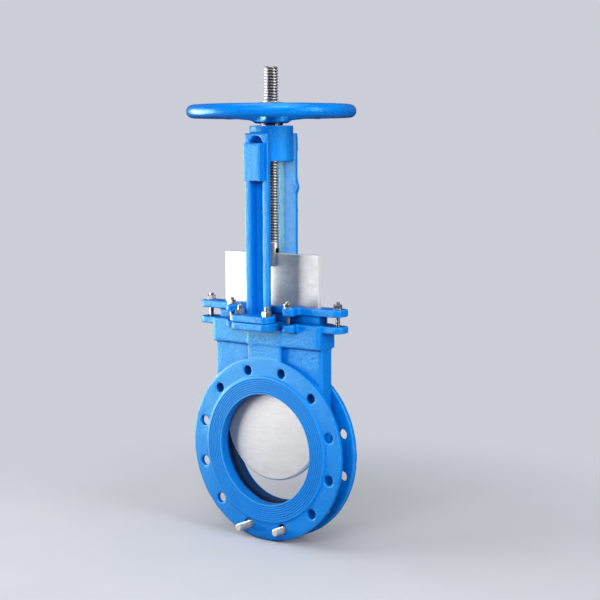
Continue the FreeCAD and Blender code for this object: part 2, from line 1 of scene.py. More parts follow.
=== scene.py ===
# Knife gate valve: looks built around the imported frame. Metres, X right, Y along the pipe, Z up.
import math
import bpy
import bmesh
import numpy as np
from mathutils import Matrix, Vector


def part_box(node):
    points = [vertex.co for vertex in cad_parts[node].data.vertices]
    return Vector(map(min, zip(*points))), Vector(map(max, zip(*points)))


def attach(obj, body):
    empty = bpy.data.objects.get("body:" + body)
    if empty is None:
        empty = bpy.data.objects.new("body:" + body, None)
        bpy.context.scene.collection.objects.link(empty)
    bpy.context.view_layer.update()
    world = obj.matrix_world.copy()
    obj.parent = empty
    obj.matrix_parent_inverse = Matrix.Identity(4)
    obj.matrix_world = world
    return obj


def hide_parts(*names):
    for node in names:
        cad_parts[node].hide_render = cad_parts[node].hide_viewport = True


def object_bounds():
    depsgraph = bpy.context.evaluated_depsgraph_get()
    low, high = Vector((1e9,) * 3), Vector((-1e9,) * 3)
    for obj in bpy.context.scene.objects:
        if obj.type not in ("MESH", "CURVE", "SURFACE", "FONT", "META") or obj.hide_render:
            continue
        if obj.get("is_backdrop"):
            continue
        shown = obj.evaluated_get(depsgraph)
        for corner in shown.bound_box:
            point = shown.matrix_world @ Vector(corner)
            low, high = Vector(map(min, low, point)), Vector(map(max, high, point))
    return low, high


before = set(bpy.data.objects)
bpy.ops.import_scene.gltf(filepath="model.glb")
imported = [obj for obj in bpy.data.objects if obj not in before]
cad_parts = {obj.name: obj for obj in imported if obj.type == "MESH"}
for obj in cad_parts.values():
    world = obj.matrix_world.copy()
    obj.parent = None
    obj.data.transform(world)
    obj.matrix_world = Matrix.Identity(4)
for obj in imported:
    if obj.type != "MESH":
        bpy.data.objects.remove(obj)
import openvdb as vdb
from mathutils import Matrix, Vector

cad_lo, cad_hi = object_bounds()
MM = 0.001
scene = bpy.context.scene
TAU = 2 * math.pi


def mm(node):
    lo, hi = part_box(node)
    return [c * 1000 for c in lo], [c * 1000 for c in hi]


# ---------------------------------------------------------------- camera
az, el, roll, dist = math.radians(36.90), math.radians(6.258), math.radians(-0.257), 3.0745
back = Vector((math.sin(az) * math.cos(el), -math.cos(az) * math.cos(el), math.sin(el)))
right = Vector((math.cos(az), math.sin(az), 0))
up = back.cross(right)
c_, s_ = math.cos(roll), math.sin(roll)
r2 = c_ * right + s_ * up
u2 = -s_ * right + c_ * up
aim = Vector((0, 0, 0.4)) + 0.05907 * right + Vector((0, 0, -0.07789))
eye = aim + back * dist
cam = bpy.data.objects.new("Camera", bpy.data.cameras.new("Camera"))
scene.collection.objects.link(cam)
cam.data.sensor_width = 36.0
cam.data.lens = 1428.52 * 36.0 / 600.0
cam.data.clip_start, cam.data.clip_end = 0.05, 100.0
cam.matrix_world = Matrix(((r2.x, u2.x, back.x, eye.x), (r2.y, u2.y, back.y, eye.y),
                           (r2.z, u2.z, back.z, eye.z), (0, 0, 0, 1)))
scene.camera = cam


# ---------------------------------------------------------------- mesh helpers
def fill_mesh(name, co, faces):
    """Mesh object from points and equal-sided faces (an n x 3 or n x 4 array), or a list of such arrays."""
    groups = [np.asarray(f, np.int32) for f in (faces if isinstance(faces, list) else [faces])]
    groups = [g for g in groups if len(g)]
    me = bpy.data.meshes.new(name)
    me.vertices.add(len(co))
    me.vertices.foreach_set("co", np.asarray(co, np.float32).ravel())
    loops = np.concatenate([g.ravel() for g in groups])
    sizes = np.concatenate([np.full(len(g), g.shape[1], np.int32) for g in groups])
    me.loops.add(len(loops))
    me.loops.foreach_set("vertex_index", loops)
    me.polygons.add(len(sizes))
    me.polygons.foreach_set("loop_start", np.concatenate([[0], np.cumsum(sizes)[:-1]]).astype(np.int32))
    me.polygons.foreach_set("use_smooth", np.ones(len(sizes), bool))
    me.update(calc_edges=True)
    me.validate()
    ob = bpy.data.objects.new(name, me)
    scene.collection.objects.link(ob)
    return ob


def tidy(ob, dist=1e-6, sharp=None):
    bm = bmesh.new()
    bm.from_mesh(ob.data)
    bmesh.ops.remove_doubles(bm, verts=bm.verts, dist=dist)
    bmesh.ops.dissolve_degenerate(bm, edges=bm.edges, dist=dist)
    bmesh.ops.recalc_face_normals(bm, faces=bm.faces)
    bm.to_mesh(ob.data)
    bm.free()
    ob.data.polygons.foreach_set("use_smooth", np.ones(len(ob.data.polygons), bool))
    if sharp is not None:
        ob.data.set_sharp_from_angle(angle=math.radians(sharp))
    ob.data.update()
    return ob


def join(name, parts):
    """One object from (points, list of face arrays) parts."""
    co, faces, n = [], {}, 0
    for p, groups in parts:
        for g in groups:
            g = np.asarray(g, np.int64)
            if len(g):
                faces.setdefault(g.shape[1], []).append(g + n)
        co.append(p)
        n += len(p)
    return fill_mesh(name, np.concatenate(co), [np.concatenate(v) for v in faces.values()])


def lathe(profile, seg, axis="z"):
    """Closed ring section (r, h) turned about an axis: points and quads."""
    prof = np.asarray(profile, float)
    n = len(prof)
    t = np.arange(seg) * TAU / seg
    r, h = prof[:, 0], prof[:, 1]
    ct, st = np.cos(t)[:, None], np.sin(t)[:, None]
    if axis == "z":
        co = np.stack([r * ct, r * st, np.broadcast_to(h, (seg, n))], -1)
    else:
        co = np.stack([r * ct, np.broadcast_to(h, (seg, n)), r * st], -1)
    i, j = np.meshgrid(np.arange(seg), np.arange(n), indexing="ij")
    a = i * n + j
    b = ((i + 1) % seg) * n + j
    c = ((i + 1) % seg) * n + (j + 1) % n
    d = i * n + (j + 1) % n
    return co.reshape(-1, 3), [np.stack([a, b, c, d], -1).reshape(-1, 4)]


def thread(r, depth, pitch, z0, z1, seg=48, rows=10, hand=1, crest=0.30, root=0.32, run_low=None, chamfer=None,
           shank=None):
    """Turned rod with a helical thread from z0 to z1, as points and faces. The rod's ends are closed with fans.
    hand is 1 for right-hand. run_low is the height below which the thread fades out. chamfer at the top (and at
    the bottom if run_low is None) is the depth of the end chamfer."""
    chamfer = depth * 1.15 if chamfer is None else chamfer
    # fractions of a pitch where the profile has its rows, and the share of the depth there
    fl = (1 - crest - root) / 2
    marks = [0.0, crest / 2, crest, crest + fl * 0.5, crest + fl, crest + fl + root / 2, crest + fl + root,
             1 - fl * 0.5]
    share = [0.0, 0.0, 0.0, 0.5, 1.0, 1.0, 1.0, 0.5]
    if rows < 8:
        marks = [0.0, crest, crest + fl, crest + fl + root]
        share = [0.0, 0.0, 1.0, 1.0]
    k = len(marks)
    turns = int(math.ceil((z1 - z0) / pitch)) + 3
    base = np.concatenate([(np.array(marks) + i) * pitch for i in range(-1, turns)])
    dep = np.tile(np.array(share) * depth, turns + 1)
    t = np.arange(seg + 1) / seg
    zz = z0 + base[None, :] + hand * t[:, None] * pitch - (pitch if hand > 0 else 0)
    rr = r - np.broadcast_to(dep, zz.shape)
    cl = np.clip(zz, z0, z1)
    # end shapes depend on height only, so rows pushed to an end coincide there
    top = r - np.clip((cl - (z1 - chamfer)) / max(chamfer, 1e-6), 0, 1) * chamfer
    if run_low is None:
        low = r - np.clip(((z0 + chamfer) - cl) / max(chamfer, 1e-6), 0, 1) * chamfer
        rr = np.minimum(rr, low)
    else:
        f = np.clip((cl - run_low) / (pitch * 0.9), 0, 1)
        f = f * f * (3 - 2 * f)
        rr = r - (r - rr) * f
    rr = np.minimum(rr, top)
    rr = np.where(zz >= z1, r - chamfer, rr)
    if run_low is None:
        rr = np.where(zz <= z0, r - chamfer, rr)
    else:
        rr = np.where(zz <= z0, r, rr)
    rr, cl = rr[:seg], cl[:seg]
    n = cl.shape[1]
    a = np.arange(seg) * TAU / seg
    co = np.stack([rr * np.cos(a)[:, None], rr * np.sin(a)[:, None], cl], -1)
    # the seam joins a column to the first one shifted by one pitch
    i, j = np.meshgrid(np.arange(seg), np.arange(n - 1), indexing="ij")
    nxt = i + 1
    shift = np.where(nxt == seg, hand * k, 0)
    nxt = nxt % seg
    j2 = np.clip(j + shift, 0, n - 1)
    j3 = np.clip(j + 1 + shift, 0, n - 1)
    quads = np.stack([i * n + j, nxt * n + j2, nxt * n + j3, i * n + j + 1], -1).reshape(-1, 4)
    co = co.reshape(-1, 3)
    # end discs
    lo_i, hi_i = len(co), len(co) + 1
    co = np.concatenate([co, [[0, 0, z0], [0, 0, z1]]])
    m = np.arange(seg)
    low_fan = np.stack([np.full(seg, lo_i), ((m + 1) % seg) * n, m * n], -1)
    top_fan = np.stack([np.full(seg, hi_i), m * n + n - 1, ((m + 1) % seg) * n + n - 1], -1)
    return co, [quads, np.concatenate([low_fan, top_fan])]


def nut(af, h, bore, turn, x, y, z, seg=96, top_only=False):
    """Hexagon nut with chamfered corners and a countersunk bore."""
    th = np.arange(seg) * TAU / seg
    ph = np.mod(th, TAU / 6) - TAU / 12
    hexr = af / 2 / np.cos(ph)
    rc = 0.478 * af
    drop = np.maximum(hexr - rc, 0) * math.tan(math.radians(30))
    low = np.zeros_like(drop) if top_only else drop
    one = np.ones(seg)
    ring = [
        (one * bore, one * 0.6), (one * bore, one * (h - 0.6)), (one * (bore + 0.6), one * h), (one * rc, one * h),
        (hexr - 0.12, h - drop + 0.05), (hexr, h - drop - 0.12), (hexr, low + 0.12), (hexr - 0.12, low - 0.05 * (low > 0)),
        (one * rc, one * 0.0), (one * (bore + 0.6), one * 0.0),
    ]
    n = len(ring)
    a = th + math.radians(turn)
    co = np.stack([np.stack([r * np.cos(a) + x, r * np.sin(a) + y, hh + z], -1) for r, hh in ring], 1).reshape(-1, 3)
    i, j = np.meshgrid(np.arange(seg), np.arange(n), indexing="ij")
    q = np.stack([i * n + j, ((i + 1) % seg) * n + j, ((i + 1) % seg) * n + (j + 1) % n, i * n + (j + 1) % n], -1)
    return co, [q.reshape(-1, 4)]


def shifted(part, x=0, y=0, z=0, swap=None):
    co, f = part
    co = co.copy()
    if swap == "y":
        co = np.stack([co[:, 0], co[:, 2], -co[:, 1]], -1)
    if swap == "x":
        co = np.stack([co[:, 2], co[:, 1], -co[:, 0]], -1)
    return co + np.array([x, y, z]), f


# ---------------------------------------------------------------- distance fields for the castings (millimetres)
def hyp(a, b):
    return np.sqrt(a * a + b * b)


def extrude(d2, dz, e):
    a, b = d2 + e, dz + e
    return hyp(np.maximum(a, 0), np.maximum(b, 0)) + np.minimum(np.maximum(a, b), 0) - e


def rect(a, b, a0, a1, b0, b1, r):
    """Rounded rectangle in two coordinates."""
    u = np.abs(a - (a0 + a1) / 2) - (a1 - a0) / 2 + r
    v = np.abs(b - (b0 + b1) / 2) - (b1 - b0) / 2 + r
    return hyp(np.maximum(u, 0), np.maximum(v, 0)) + np.minimum(np.maximum(u, v), 0) - r


def span(a, a0, a1):
    return np.abs(a - (a0 + a1) / 2) - (a1 - a0) / 2


def poly(a, b, pts):
    """Signed distance to a polygon."""
    a, b = np.broadcast_arrays(a, b)
    best = np.full(a.shape, 1e9, np.float32)
    inside = np.zeros(a.shape, bool)
    n = len(pts)
    for i in range(n):
        (x0, y0), (x1, y1) = pts[i], pts[(i + 1) % n]
        ex, ey = x1 - x0, y1 - y0
        wx, wy = a - x0, b - y0
        t = np.clip((wx * ex + wy * ey) / (ex * ex + ey * ey), 0, 1)
        best = np.minimum(best, (wx - ex * t) ** 2 + (wy - ey * t) ** 2)
        if y0 != y1:
            cross = (y0 > b) != (y1 > b)
            inside ^= cross & (a < ex * (b - y0) / ey + x0)
    d = np.sqrt(best)
    return np.where(inside, -d, d)


class Field:
    def __init__(self, lo, hi, h):
        self.h = h
        self.lo = np.array(lo, float)
        self.n = [int(math.ceil((b - a) / h)) + 1 for a, b in zip(lo, hi)]
        self.ax = [np.float32(lo[i]) + np.float32(h) * np.arange(self.n[i], dtype=np.float32) for i in range(3)]
        self.d = np.full(self.n, 50.0, np.float32)

    def zone(self, lo, hi, pad):
        s, axes = [], []
        for i in range(3):
            a = int(np.searchsorted(self.ax[i], lo[i] - pad))
            b = int(np.searchsorted(self.ax[i], hi[i] + pad, side="right"))
            s.append(slice(max(a, 0), min(b, self.n[i])))
        x, y, z = [self.ax[i][s[i]] for i in range(3)]
        return tuple(s), x[:, None, None], y[None, :, None], z[None, None, :]

    def add(self, fn, lo, hi, k=0.0):
        s, x, y, z = self.zone(lo, hi, k + 3 * self.h)
        a, b = self.d[s], np.asarray(fn(x, y, z), np.float32)
        if k > 0:
            g = np.maximum(k - np.abs(a - b), 0) / k
            self.d[s] = np.minimum(a, b) - g * g * k * 0.25
        else:
            self.d[s] = np.minimum(a, b)

    def sub(self, fn, lo, hi, k=0.0):
        s, x, y, z = self.zone(lo, hi, k + 3 * self.h)
        a, b = self.d[s], -np.asarray(fn(x, y, z), np.float32)
        if k > 0:
            g = np.maximum(k - np.abs(a - b), 0) / k
            self.d[s] = np.maximum(a, b) + g * g * k * 0.25
        else:
            self.d[s] = np.maximum(a, b)

    def wave(self, step, amount, seed, mask=None):
        """Uneven sand-cast skin: smooth noise with features of about step."""
        rng = np.random.RandomState(seed)
        mats, m = [], []
        for i in range(3):
            t = (self.ax[i] - self.ax[i][0]) / step + 1.0
            cells = int(t[-1]) + 3
            b = np.zeros((len(t), cells + 1), np.float32)
            k0 = np.floor(t).astype(int)
            f = t - k0
            w = [(1 - f) ** 3 / 6, (3 * f ** 3 - 6 * f ** 2 + 4) / 6, (-3 * f ** 3 + 3 * f ** 2 + 3 * f + 1) / 6, f ** 3 / 6]
            for o in range(4):
                b[np.arange(len(t)), np.clip(k0 - 1 + o, 0, cells)] += w[o]
            mats.append(b)
            m.append(cells + 1)
        lat = rng.uniform(-1, 1, m).astype(np.float32)
        v = np.tensordot(mats[0], lat, (1, 0))
        v = np.tensordot(v, mats[1], (1, 1)).transpose(0, 2, 1)
        v = np.tensordot(v, mats[2], (2, 1)).astype(np.float32)
        v *= np.float32(amount * 2.4)
        if mask is not None:
            v *= mask
        self.d += v

    def mesh(self, name, rounds=2, adapt=0.0):
        d = np.clip(self.d, -3 * self.h, 3 * self.h).astype(np.float32)
        d[0], d[-1], d[:, 0], d[:, -1], d[:, :, 0], d[:, :, -1] = (3 * self.h,) * 6
        g = vdb.FloatGrid(3 * self.h)
        g.copyFromArray(d)
        if adapt:
            pts, tris, quads = g.convertToPolygons(isovalue=0.0, adaptivity=adapt)
        else:
            pts, quads = g.convertToQuads(isovalue=0.0)
            tris = np.zeros((0, 3), np.int32)
        pts, quads, tris = np.asarray(pts, float), np.asarray(quads, np.int64), np.asarray(tris, np.int64)
        e = [np.concatenate([quads[:, [0, 1]], quads[:, [1, 2]], quads[:, [2, 3]], quads[:, [3, 0]]])]
        if len(tris):
            e.append(np.concatenate([tris[:, [0, 1]], tris[:, [1, 2]], tris[:, [2, 0]]]))
        e = np.concatenate(e)
        cnt = np.bincount(e[:, 0], minlength=len(pts)) + np.bincount(e[:, 1], minlength=len(pts))
        for _ in range(rounds):
            acc = np.stack([np.bincount(e[:, 0], pts[e[:, 1], i], len(pts)) + np.bincount(e[:, 1], pts[e[:, 0], i], len(pts))
                            for i in range(3)], 1)
            pts = 0.5 * pts + 0.5 * acc / cnt[:, None]
        co = (pts * self.h + self.lo) * MM
        p = co[quads[:, 0]], co[quads[:, 1]], co[quads[:, 2]]
        vol = np.einsum("ij,ij->i", p[0], np.cross(p[1], p[2])).sum()
        n0 = np.cross(p[1] - p[0], p[2] - p[0])
        cen = (p[0] + p[2]) / 2
        flux = (n0 * cen).sum()
        if flux < 0:
            quads = quads[:, ::-1]
            tris = tris[:, ::-1]
        return fill_mesh(name, co, [quads, tris] if len(tris) else quads)


def cyl(axis, c0, c1, r, a0, a1, e=0.0):
    """Rounded cylinder along an axis: the field function and its box."""
    if axis == "y":
        fn = lambda x, y, z: extrude(hyp(x - c0, z - c1) - r, span(y, a0, a1), e)
        return fn, (c0 - r, a0, c1 - r), (c0 + r, a1, c1 + r)
    if axis == "z":
        fn = lambda x, y, z: extrude(hyp(x - c0, y - c1) - r, span(z, a0, a1), e)
        return fn, (c0 - r, c1 - r, a0), (c0 + r, c1 + r, a1)
    fn = lambda x, y, z: extrude(hyp(y - c0, z - c1) - r, span(x, a0, a1), e)
    return fn, (a0, c0 - r, c1 - r), (a1, c0 + r, c1 + r)


def block(x0, x1, y0, y1, z0, z1, rv=2.0, e=2.0):
    """Upright block, corner radius rv in plan and e on the other edges."""
    fn = lambda x, y, z: extrude(rect(x, y, x0, x1, y0, y1, rv), span(z, z0, z1), e)
    return fn, (x0, y0, z0), (x1, y1, z1)


SIDES = (-1, 1)
GLAND_SPOTS = [(-172, 0), (172, 0)] + [(sx * 76, sy * 45) for sx in SIDES for sy in SIDES]
FOOT_SPOTS = [(sx * 36.5, sy * 66) for sx in SIDES for sy in SIDES]


def build_body():
    f = Field((-205, -93, -205), (205, 93, 286), 1.6)
    f.add(*cyl("y", 0, 0, 144, -19.5, 19.5, 2))
    f.add(*block(-144, 144, -19.5, 19.5, -4, 278, 5, 1.5), k=2)
    f.add(*block(-145, 145, -30.3, 30.3, 227, 278, 6, 1.8), k=4)
    f.add(*block(-45, 45, -30.3, 30.3, 120, 278, 2.2, 1.8), k=4)
    f.add(*block(-190.9, 190.9, -22, 22, 263, 278, 15, 2.4), k=5)
    for s in SIDES:
        f.add(*block(-50, 50, min(s * 20, s * 88), max(s * 20, s * 88), 265, 281, 14, 1.6), k=4)
        for sy in SIDES:
            f.add(*cyl("z", s * 76, sy * 45, 12.5, 263, 278, 2), k=3)
            f.add(*block(s * 76 - 12.5, s * 76 + 12.5, min(0, sy * 45), max(0, sy * 45), 263, 278, 2, 2), k=7)
    x, y, z = f.ax[0][:, None, None], f.ax[1][None, :, None], f.ax[2][None, None, :]
    rad = hyp(x, z)
    # cast skin everywhere but on the turned flange discs
    mask = np.clip((rad - 203) / 4, 0, 1)
    mask = np.maximum(mask, np.clip((17.0 - np.abs(y)) / 2, 0, 1)).astype(np.float32)
    f.wave(17, 0.22, 11, mask)
    f.wave(5.5, 0.10, 12, mask)
    for s in SIDES:
        f.add(*cyl("y", 0, 0, 200, min(s * 19.5, s * 31), max(s * 19.5, s * 31), 1.2), k=0.4)
        f.add(*cyl("y", 0, 0, 159.4, min(s * 19.5, s * 33), max(s * 19.5, s * 33), 0.5), k=0)
    f.sub(*cyl("y", 0, 0, 121, -60, 60), k=1.2)
    f.sub(*cyl("y", 0, 0, 130, -7, 7), k=0.8)
    f.sub(*block(-130, 130, -7, 7, 0, 234, 0.5, 0.5), k=0.8)
    f.sub(*cyl("y", 0, 0, 129, 0, 12), k=0.6)
    f.sub(*block(-136, 136, -16, 16, 232, 300, 4, 0.5), k=1.2)
    # wedge-shaped rests low in the slot
    rest = [(121.4, -8.5), (121.4, -6.6), (122.3, -6.6), (126.8, -2.1), (126.8, 5.5), (131, 5.5), (131, -8.5)]
    for s in SIDES:
        def wedge(x, y, z, s=s):
            return np.maximum(poly(hyp(x, z), y, rest), span(s * x, 42, 76))
        f.add(wedge, (min(s * 42, s * 76), -9, -126), (max(s * 42, s * 76), 6, -96), k=1.0)
    for i in range(12):
        a = math.radians(15 + 30 * i)
        hx, hz = 175 * math.sin(a), 175 * math.cos(a)
        if 2 <= i <= 9:
            f.sub(*cyl("y", hx, hz, 11, -60, 60), k=1.0)
        else:
            for s in SIDES:
                f.sub(*cyl("y", hx, hz, 10, min(s * 13, s * 60), max(s * 13, s * 60)), k=1.0)
    for gx, gy in GLAND_SPOTS:
        f.sub(*cyl("z", gx, gy, 5.3, 250, 300), k=0.6)
    for gx, gy in FOOT_SPOTS:
        f.sub(*cyl("z", gx, gy, 6.3, 250, 300), k=0.6)
    return f.mesh("valve_body_casting", adapt=0.004)


def build_gland():
    f = Field((-198, -62, 268), (198, 62, 319.5), 1.3)
    f.add(*block(-135.9, 135.9, -15.9, 15.9, 272, 300, 4, 1.0))
    f.add(*block(-189.9, 189.9, -22, 22, 297.6, 313.4, 15, 2.4), k=2)
    for s in SIDES:
        for sy in SIDES:
            f.add(*cyl("z", s * 76, sy * 45, 12.5, 297.6, 313.4, 2.4), k=3)
            f.add(*block(s * 76 - 12.5, s * 76 + 12.5, min(0, sy * 45), max(0, sy * 45), 297.6, 313.4, 2, 2.4), k=8)
    z = f.ax[2][None, None, :]
    f.wave(15, 0.18, 21, np.clip((z - 292) / 4, 0, 1).astype(np.float32))
    f.wave(5, 0.10, 22, np.clip((z - 292) / 4, 0, 1).astype(np.float32))
    f.sub(*block(-127, 127, -7, 7, 250, 340, 0.5, 0.5), k=1.2)
    for gx, gy in GLAND_SPOTS:
        f.sub(*cyl("z", gx, gy, 5.5, 250, 340), k=0.8)
    return f.mesh("packing_gland_casting", adapt=0.004)


def build_yoke():
    f = Field((-54, -92, 277), (54, 92, 699), 1.3)
    f.add(*cyl("z", 0, 0, 46.4, 620, 695, 1.6))
    legs = []
    for s in SIDES:
        pts = [(-30.5, s * 53.5), (30.5, s * 53.5), (30.5, s * 44.5), (17, s * 26.5), (-17, s * 26.5),
               (-30.5, s * 44.5)]
        fn = lambda x, y, z, p=pts: extrude(poly(x, y, p) + 0.0, span(z, 283, 679), 2.2)
        f.add(fn, (-31, min(s * 26, s * 54), 283), (31, max(s * 26, s * 54), 679), k=4)
    for s in SIDES:
        f.add(*block(-50, 50, min(s * 47.5, s * 88), max(s * 47.5, s * 88), 281, 296, 12, 1.8), k=9)
        f.add(*block(-30.5, 30.5, min(s * 26.5, s * 52), max(s * 26.5, s * 52), 281, 296, 1.5, 1.8), k=5)
    # groove down the outer side of each leg, arched at the top
    for s in SIDES:
        def groove(x, y, z, s=s):
            out = y * s
            w = 12 + (out - 33.5) * 0.2
            rr = np.where(z > 658, hyp(x, np.maximum(z - 658, 0)), np.abs(x))
            a = (rr - w) * 0.98
            b = 33.5 - out
            e = 297.5 - z
            k = 5.0
            g = np.maximum(k - np.abs(a - b), 0) / k
            m = np.maximum(a, b) + g * g * k * 0.25
            g = np.maximum(k - np.abs(m - e), 0) / k
            return np.maximum(m, e) + g * g * k * 0.25
        f.sub(groove, (-18, min(s * 33, s * 60), 297), (18, max(s * 33, s * 60), 676), k=2.4)
    f.add(*block(-21.6, 21.6, -69.3, -33, 579, 658, 1.6, 1.6), k=2.0)
    f.add(*cyl("y", 21.5, 563.5, 13.5, 41, 53.5, 2), k=3)
    z = f.ax[2][None, None, :]
    mask = np.clip((692 - z) / 3, 0, 1).astype(np.float32)
    f.wave(16, 0.22, 31, mask)
    f.wave(5, 0.11, 32, mask)
    f.sub(*cyl("z", 0, 0, 27.1, 640, 720), k=1.0)
    f.sub(*cyl("z", 0, 0, 17, 600, 660), k=1.2)
    f.sub(*cyl("x", 0, 680, 3.1, -60, -20), k=0.5)
    for gx, gy in FOOT_SPOTS:
        f.sub(*cyl("z", gx, gy, 6.5, 270, 320), k=0.8)
    return f.mesh("yoke_casting", adapt=0.004)


def build_wheel():
    f = Field((-184, -184, 697), (184, 184, 743), 1.5)
    f.add(*cyl("z", 0, 0, 36.5, 701, 738, 3))
    for k in range(5):
        a = math.radians(18 + 72 * k)
        ca, sa = math.cos(a), math.sin(a)
        p0 = np.array([20 * ca, 20 * sa, 714.2])
        p1 = np.array([160 * ca, 160 * sa, 724.0])
        ba = p1 - p0
        l2 = float(ba @ ba)
        def spoke(x, y, z, p0=p0, ba=ba, l2=l2, ca=ca, sa=sa):
            wx, wy, wz = x - p0[0], y - p0[1], z - p0[2]
            t = np.clip((wx * ba[0] + wy * ba[1] + wz * ba[2]) / l2, 0, 1)
            dx, dy, dz = wx - t * ba[0], wy - t * ba[1], wz - t * ba[2]
            side = dx * -sa + dy * ca
            along = dx * ca + dy * sa
            # oval section, wider than tall
            r = 11.5 - 2.6 * t
            return np.sqrt(side * side * 0.80 + along * along + dz * dz * 1.12) - r
        lo = [min(p0[i], p1[i]) - 13 for i in range(3)]
        hi = [max(p0[i], p1[i]) + 13 for i in range(3)]
        f.add(spoke, lo, hi, k=13)
    torus = lambda x, y, z: hyp(hyp(x, y) - 166.6, z - 725) - 14.0
    f.add(torus, (-181, -181, 711), (181, 181, 739), k=12)
    f.wave(18, 0.10, 41)
    f.sub(*cyl("z", 0, 0, 20.0, 690, 745), k=0.8)
    f.sub(*block(16, 23.7, -4, 4, 690, 745, 0.4, 0.4), k=0.4)
    return f.mesh("handwheel_casting")


body = build_body()
gland = build_gland()
yoke = build_yoke()
wheel = build_wheel()

# ---------------------------------------------------------------- turned sealing faces with gasket grooves
def sealing_face(name, s):
    pr = [(120.95, s * 30.5), (120.95, s * 33.3), (121.7, s * 34.0)]
    r = 125.4
    while r < 157.0:
        pr += [(r - 1.25, s * 34.0), (r - 0.35, s * 33.05), (r + 0.35, s * 33.05), (r + 1.25, s * 34.0)]
        r += 4.7
    pr += [(158.6, s * 34.0), (159.8, s * 33.4), (160.4, s * 32.0), (161.9, s * 31.0), (161.9, s * 30.5)]
    co, f = lathe(pr, 288, "y")
    return tidy(fill_mesh(name, co * MM, f[0]), sharp=35)


face_front = sealing_face("sealing_face_front", -1)
face_back = sealing_face("sealing_face_back", 1)

# ---------------------------------------------------------------- stem, studs and nuts
lo, hi = mm("stem")
co, fs = thread(15.0, 3.1, 6.0, lo[2], hi[2], seg=64, rows=8, hand=-1, crest=0.30, root=0.30,
                run_low=446.0, chamfer=3.4)
stem = tidy(fill_mesh("stem_threaded", co * MM, fs), dist=2e-6)


def cutter(name, parts):
    ob = tidy(join(name, [(p * MM, f) for p, f in parts]))
    ob.hide_render = True
    return ob


def slot_tool():
    """Fork slot with a round upper end, running along X."""
    n = 20
    r, zc, zb = 6.05, 428.0, 380.0
    t = np.linspace(0, math.pi, n)
    loop = [(-r, zb), (r, zb)] + [(r * math.cos(a), zc + r * math.sin(a)) for a in t]
    m = len(loop)
    co = np.array([(-20, y, z) for y, z in loop] + [(20, y, z) for y, z in loop])
    i = np.arange(m)
    quads = np.stack([i, (i + 1) % m, (i + 1) % m + m, i + m], -1)
    fan0 = np.array([(0, k + 1, k) for k in range(1, m - 1)])
    fan1 = np.array([(m, m + k, m + k + 1) for k in range(1, m - 1)])
    return co, [quads, np.concatenate([fan0, fan1])]


tool = cutter("slot_tool", [slot_tool()])
bo = stem.modifiers.new("slot", "BOOLEAN")
bo.operation, bo.object, bo.solver = "DIFFERENCE", tool, "EXACT"
dg = bpy.context.evaluated_depsgraph_get()
done = bpy.data.meshes.new_from_object(stem.evaluated_get(dg))
stem.modifiers.clear()
stem.data = done
bpy.data.objects.remove(tool)
tidy(stem, dist=1e-6, sharp=32)

rng = np.random.RandomState(7)
gland_z = mm("gland_studs")[0][2] - 1.0, mm("gland_studs")[1][2]
studs = []
for gx, gy in GLAND_SPOTS:
    part = thread(5.0, 0.92, 1.5, gland_z[0], gland_z[1], seg=28, rows=4, hand=1, crest=0.14, root=0.20, chamfer=1.0)
    a = rng.uniform(0, TAU)
    ca, sa = math.cos(a), math.sin(a)
    p = part[0] @ np.array([[ca, sa, 0], [-sa, ca, 0], [0, 0, 1]])
    studs.append(((p + np.array([gx, gy, 0])) * MM, part[1]))
gland_studs = tidy(join("gland_studs_threaded", studs), dist=1e-6, sharp=50)
studs = []
for gx, gy in FOOT_SPOTS:
    part = thread(6.0, 1.07, 1.75, 265.0, 316.0, seg=28, rows=4, hand=1, crest=0.14, root=0.20, chamfer=1.2)
    studs.append(((part[0] + np.array([gx, gy, 0])) * MM, part[1]))
yoke_studs = tidy(join("yoke_studs_threaded", studs), dist=1e-6, sharp=50)
turns = (8.0, 22.0, -5.0, 14.0, 31.0, 3.0)
parts = []
for (gx, gy), t in zip(GLAND_SPOTS, turns):
    p, q = nut(17, 8.0, 5.02, t, gx, gy, mm("gland_nuts")[0][2])
    parts.append((p * MM, q))
gland_nuts = tidy(join("gland_nuts_hex", parts), sharp=28)
parts = []
for (gx, gy), t in zip(FOOT_SPOTS, (12.0, 25.0, -8.0, 4.0)):
    p, q = nut(19, 10.0, 6.02, t, gx, gy, 296.0)
    parts.append((p * MM, q))
yoke_nuts = tidy(join("yoke_nuts_hex", parts), sharp=28)
parts = []
for gx, gy in GLAND_SPOTS:
    p, q = lathe([(5.3, 0.0), (9.6, 0.0), (10.0, 0.4), (10.0, 1.6), (9.6, 2.0), (5.3, 2.0)], 48)
    parts.append(((p + np.array([gx, gy, mm("gland_washers")[0][2]])) * MM, q))
washers = tidy(join("gland_washers_flat", parts), sharp=28)
p, q = nut(50, 6.0, 19.0, 11.0, 0, 0, 738.0, seg=120)
wheel_nut = tidy(fill_mesh("handwheel_nut_hex", p * MM, q[0]), sharp=28)

parts = []
for deg, z0, z1 in ((165.0, -56.0, 60.0), (195.0, -69.0, 60.0)):
    a = math.radians(deg)
    p, q = thread(8.0, 1.15, 2.0, z0, z1, seg=36, rows=4, hand=1, crest=0.16, root=0.22, chamfer=1.0)
    p, q = shifted((p, q), 175 * math.sin(a), 0, 175 * math.cos(a) - 3.0, swap="y")
    parts.append((p * MM, q))
rods = tidy(join("flange_rods_threaded", parts), dist=1e-6, sharp=30)


